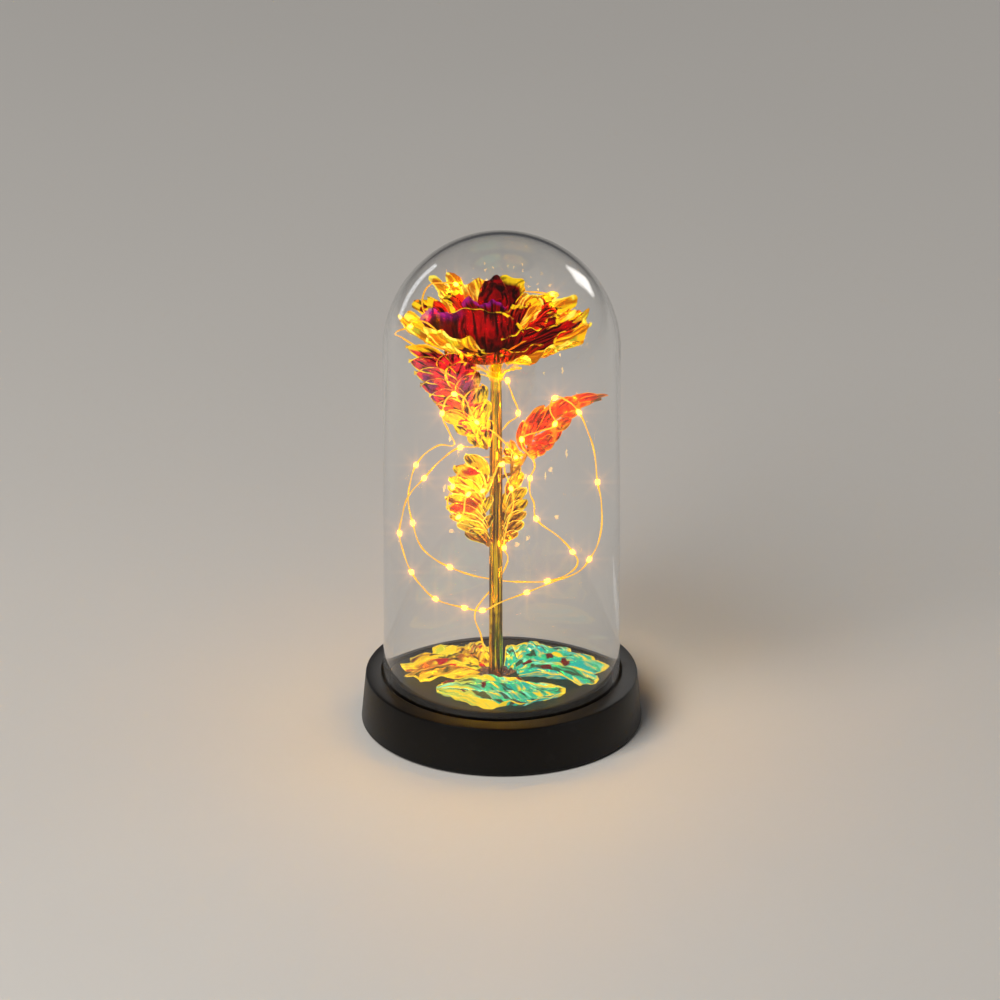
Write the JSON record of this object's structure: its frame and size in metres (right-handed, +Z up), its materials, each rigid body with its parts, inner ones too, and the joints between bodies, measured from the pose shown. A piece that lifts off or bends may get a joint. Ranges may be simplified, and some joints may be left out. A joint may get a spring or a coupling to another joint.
{
  "type": "foil rose with string lights in a glass dome",
  "caption": "Gold and red foil rose wound with a thin wire of warm lights, standing on a round black battery base under a tall clear glass dome.",
  "frame": {"origin": "middle of the underside, on the surface that the base stands on", "axes": "+Z up along the base and dome axis, -Y towards the front, +X to the right seen from the front"},
  "size_m": [0.12, 0.12, 0.224],
  "materials": {
    "black_plastic": "satin moulded black plastic with a thin bright edge",
    "rubber": "matt",
    "clear_glass": "clear, polished, with a fire-rounded lip",
    "gold_foil": "metallised film, mirror gold, crumpled and embossed",
    "red_foil": "metallised film, deep red with a purple sheen and a gold edge, embossed veins",
    "red_gold_foil": "metallised film, red running into gold at the edges",
    "teal_foil": "metallised film, teal and green with gold edges, crumpled",
    "amber_foil": "metallised film, amber and orange, crumpled",
    "brown_film": "thin brown translucent film",
    "lit_wire": "thin lacquered wire with lit drops of clear resin"
  },
  "bodies": {
    "root": {"base_housing": "black_plastic", "battery_door": "black_plastic", "bottom_plate": "black_plastic", "bud_heart": "red_foil", "bud_petal_1": "red_gold_foil", "bud_petal_2": "red_gold_foil", "bud_petal_3": "red_gold_foil", "calyx": "gold_foil", "cup_petal_1": "red_foil", "cup_petal_2": "red_foil", "cup_petal_3": "red_foil", "cup_petal_4": "red_foil", "cup_petal_5": "red_foil", "cup_petal_6": "red_foil", "fallen_petal_front": "teal_foil", "fallen_petal_left": "amber_foil", "fallen_petal_right": "teal_foil", "foot_pad_1": "rubber", "foot_pad_2": "rubber", "foot_pad_3": "rubber", "foot_pad_4": "rubber", "glass_dome": "clear_glass", "inner_petal_1": "red_foil", "inner_petal_2": "red_foil", "inner_petal_3": "red_foil", "inner_petal_4": "red_foil", "inner_petal_5": "red_foil", "leaf_bract": "gold_foil", "leaf_lower_left": "gold_foil", "leaf_lower_right": "red_gold_foil", "leaf_right": "red_gold_foil", "leaf_upper_left": "red_gold_foil", "light_string": "lit_wire", "outer_petal_1": "gold_foil", "outer_petal_2": "gold_foil", "outer_petal_3": "gold_foil", "outer_petal_4": "gold_foil", "outer_petal_5": "gold_foil", "outer_petal_6": "gold_foil", "outer_petal_7": "gold_foil", "outer_petal_8": "gold_foil", "second_petal_1": "red_gold_foil", "second_petal_2": "red_gold_foil", "second_petal_3": "red_gold_foil", "second_petal_4": "red_gold_foil", "second_petal_5": "red_gold_foil", "second_petal_6": "red_gold_foil", "second_petal_7": "red_gold_foil", "stem": "gold_foil", "stem_collar": "brown_film"}
  },
  "joints": []
}
